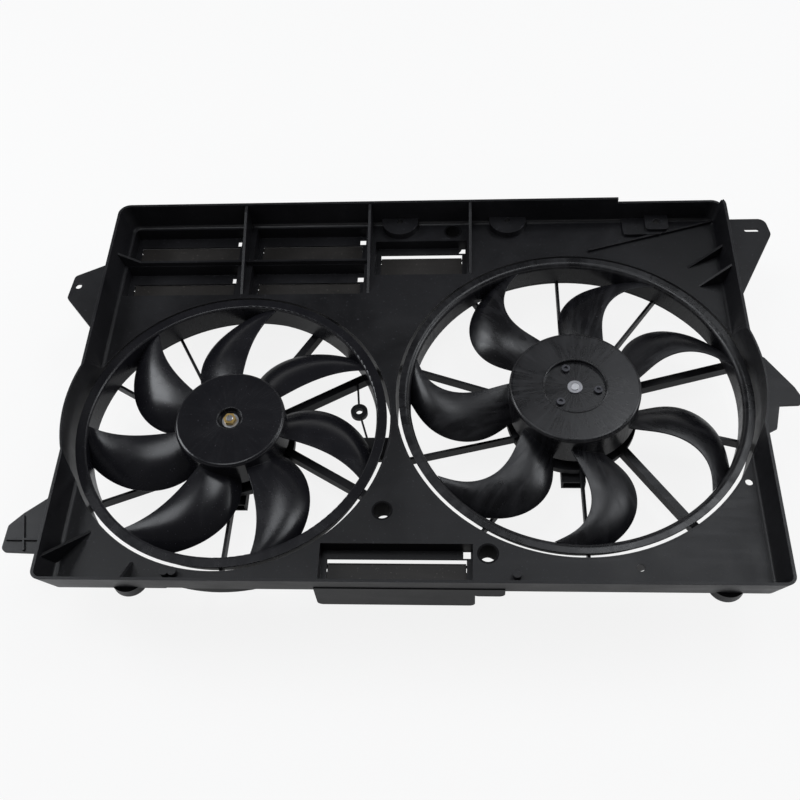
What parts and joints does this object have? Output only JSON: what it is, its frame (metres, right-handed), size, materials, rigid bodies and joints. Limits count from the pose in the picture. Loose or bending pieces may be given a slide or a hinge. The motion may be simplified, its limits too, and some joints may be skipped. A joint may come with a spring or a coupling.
{
  "type": "radiator cooling fan",
  "caption": "Engine radiator cooling fan assembly: a flat rectangular shroud with two ring fans on electric motors and ram-air doors.",
  "frame": {"origin": "below the middle of the shroud tray, at the level of the motor backs it rests on", "axes": "+Z from the motors towards the radiator side, +X along the shroud towards the larger fan, +Y across it towards its upper edge"},
  "size_m": [0.8197, 0.4892, 0.114],
  "materials": {
    "shroud_plastic": "satin black moulded plastic",
    "fan_plastic": "smooth black moulded plastic",
    "fan_plastic_satin": "satin black moulded plastic",
    "door_plastic": "dark grey-brown plastic",
    "motor_steel": "dark coated steel",
    "bearing_steel": "ground steel",
    "end_plate_alloy": "cast aluminium",
    "ferrite": "sintered ferrite",
    "card_plastic": "brown phenolic board",
    "carbon": "carbon",
    "spring_steel": "spring strip",
    "zinc_steel": "zinc plated",
    "connector_plastic": "black connector plastic",
    "terminal_metal": "tinned blades",
    "core_steel": "laminated steel",
    "copper_wire": "enamelled copper",
    "yellow_zinc": "yellow zinc plating",
    "drive_alloy": "machined aluminium",
    "dark_screw": "black coated screw"
  },
  "bodies": {
    "root": {"shroud": "shroud_plastic", "left_barrel": "shroud_plastic", "right_barrel": "shroud_plastic", "left_motor_support": "shroud_plastic", "right_motor_support": "shroud_plastic", "upper_left_pocket": "shroud_plastic", "upper_right_pocket": "shroud_plastic", "lower_left_pocket": "shroud_plastic", "lower_right_pocket": "shroud_plastic", "top_centre_pocket": "shroud_plastic", "bottom_centre_pocket": "shroud_plastic", "tray_walls": "shroud_plastic", "wall_gussets": "shroud_plastic", "bolt_tubes": "shroud_plastic", "mounting_ears": "shroud_plastic", "slotted_ear": "shroud_plastic", "left_can": "motor_steel", "left_rear_bearing": "bearing_steel", "left_end_plate": "end_plate_alloy", "left_front_bearing": "bearing_steel", "left_magnets": "ferrite", "left_brush_card": "card_plastic", "left_brushes": "carbon", "left_brush_springs": "spring_steel", "left_motor_screws": "zinc_steel", "left_socket": "connector_plastic", "left_terminals": "terminal_metal", "right_can": "motor_steel", "right_rear_bearing": "bearing_steel", "right_end_plate": "end_plate_alloy", "right_front_bearing": "bearing_steel", "right_magnets": "ferrite", "right_brush_card": "card_plastic", "right_brushes": "carbon", "right_brush_springs": "spring_steel", "right_motor_screws": "zinc_steel", "right_socket": "connector_plastic", "right_terminals": "terminal_metal"},
    "left_rotor": {"left_fan": "fan_plastic", "left_fan_ring": "fan_plastic", "left_fan_washer": "zinc_steel", "left_fan_nut": "yellow_zinc", "left_shaft": "bearing_steel", "left_armature_core": "core_steel", "left_windings": "copper_wire", "left_commutator": "copper_wire"},
    "right_rotor": {"right_fan": "fan_plastic_satin", "right_fan_ring": "fan_plastic_satin", "right_drive_plate": "drive_alloy", "right_fan_screws": "dark_screw", "right_shaft": "bearing_steel", "right_armature_core": "core_steel", "right_windings": "copper_wire", "right_commutator": "copper_wire"},
    "upper_left_flap": {"upper_left_door": "door_plastic"},
    "upper_right_flap": {"upper_right_door": "door_plastic"},
    "lower_left_flap": {"lower_left_door": "door_plastic"},
    "lower_right_flap": {"lower_right_door": "door_plastic"},
    "top_centre_flap": {"top_centre_door": "door_plastic"},
    "bottom_centre_flap": {"bottom_centre_door": "door_plastic"}
  },
  "joints": [
    {"name": "left_fan_spin", "type": "hinge", "parent": "root", "child": "left_rotor", "pos_m": [-0.19585, -0.0461, 0.078], "axis": [0, 0, 1], "continuous": true},
    {"name": "right_fan_spin", "type": "hinge", "parent": "root", "child": "right_rotor", "pos_m": [0.17535, -0.0082, 0.078], "axis": [0, 0, 1], "continuous": true},
    {"name": "upper_left_door_hinge", "type": "hinge", "parent": "root", "child": "upper_left_flap", "pos_m": [-0.28225, 0.2205, 0.0557], "axis": [1, 0, 0], "range_deg": [0, 70]},
    {"name": "upper_right_door_hinge", "type": "hinge", "parent": "root", "child": "upper_right_flap", "pos_m": [-0.12975, 0.2205, 0.0557], "axis": [1, 0, 0], "range_deg": [0, 70]},
    {"name": "lower_left_door_hinge", "type": "hinge", "parent": "root", "child": "lower_left_flap", "pos_m": [-0.28225, 0.1615, 0.0557], "axis": [1, 0, 0], "range_deg": [0, 70]},
    {"name": "lower_right_door_hinge", "type": "hinge", "parent": "root", "child": "lower_right_flap", "pos_m": [-0.12975, 0.1615, 0.0557], "axis": [1, 0, 0], "range_deg": [0, 70]},
    {"name": "top_centre_door_hinge", "type": "hinge", "parent": "root", "child": "top_centre_flap", "pos_m": [0.005, 0.197, 0.0587], "axis": [1, 0, 0], "range_deg": [0, 70]},
    {"name": "bottom_centre_door_hinge", "type": "hinge", "parent": "root", "child": "bottom_centre_flap", "pos_m": [-0.01143, -0.203, 0.0557], "axis": [1, 0, 0], "range_deg": [0, 70]}
  ]
}
